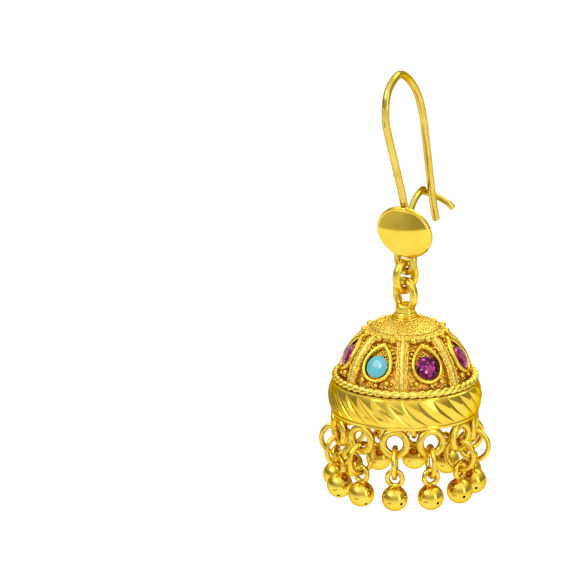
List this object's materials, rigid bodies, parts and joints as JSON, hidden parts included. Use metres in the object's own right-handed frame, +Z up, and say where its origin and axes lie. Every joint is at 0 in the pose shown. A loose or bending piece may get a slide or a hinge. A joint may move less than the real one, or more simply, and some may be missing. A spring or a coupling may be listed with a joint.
{
  "type": "jhumka earring",
  "caption": "Bell-shaped jhumka drop earring: bent ear wire with a round disc, ring chain, domed bell with set stones and a fringe of ball drops.",
  "frame": {"origin": "inner top of the ear wire, where it hangs in the ear lobe's hole", "axes": "+Z up, -Y the way the disc and the bell's front face, the ear wire lies in the plane X = 0"},
  "size_m": [0.0198, 0.0196, 0.0519],
  "materials": {
    "polished_gold": "polished gold-coloured plating",
    "cast_gold": "cast and partly granulated gold-coloured plating",
    "turquoise": "polished opaque turquoise stone",
    "pink_crystal": "cut pink glass with a foiled back"
  },
  "bodies": {
    "hook": {"ear_hook": "polished_gold"},
    "link": {"jump_link": "polished_gold"},
    "bell": {"bell": "cast_gold", "turquoise_1": "turquoise", "turquoise_2": "turquoise", "crystal_1": "pink_crystal", "crystal_2": "pink_crystal", "crystal_3": "pink_crystal", "crystal_4": "pink_crystal", "crystal_5": "pink_crystal", "drop_link_01": "polished_gold", "drop_link_02": "polished_gold", "drop_link_03": "polished_gold", "drop_link_04": "polished_gold", "drop_link_05": "polished_gold", "drop_link_06": "polished_gold", "drop_link_07": "polished_gold", "drop_link_08": "polished_gold", "drop_link_09": "polished_gold", "drop_link_10": "polished_gold", "drop_link_11": "polished_gold", "drop_link_12": "polished_gold", "bead_drop_01": "polished_gold", "bead_drop_02": "polished_gold", "bead_drop_03": "polished_gold", "bead_drop_04": "polished_gold", "bead_drop_05": "polished_gold", "bead_drop_06": "polished_gold", "bead_drop_07": "polished_gold", "bead_drop_08": "polished_gold", "bead_drop_09": "polished_gold", "bead_drop_10": "polished_gold", "bead_drop_11": "polished_gold", "bead_drop_12": "polished_gold"}
  },
  "joints": [
    {"name": "link_swing", "type": "hinge", "parent": "hook", "child": "link", "pos_m": [-0.00062, 0.00415, -0.02416], "axis": [0.9239, -0.3827, 0], "range_deg": [-25, 25]},
    {"name": "bell_swing", "type": "hinge", "parent": "link", "child": "bell", "pos_m": [-0.00062, 0.00415, -0.02646], "axis": [0.3827, 0.9239, 0], "range_deg": [-25, 25]}
  ]
}
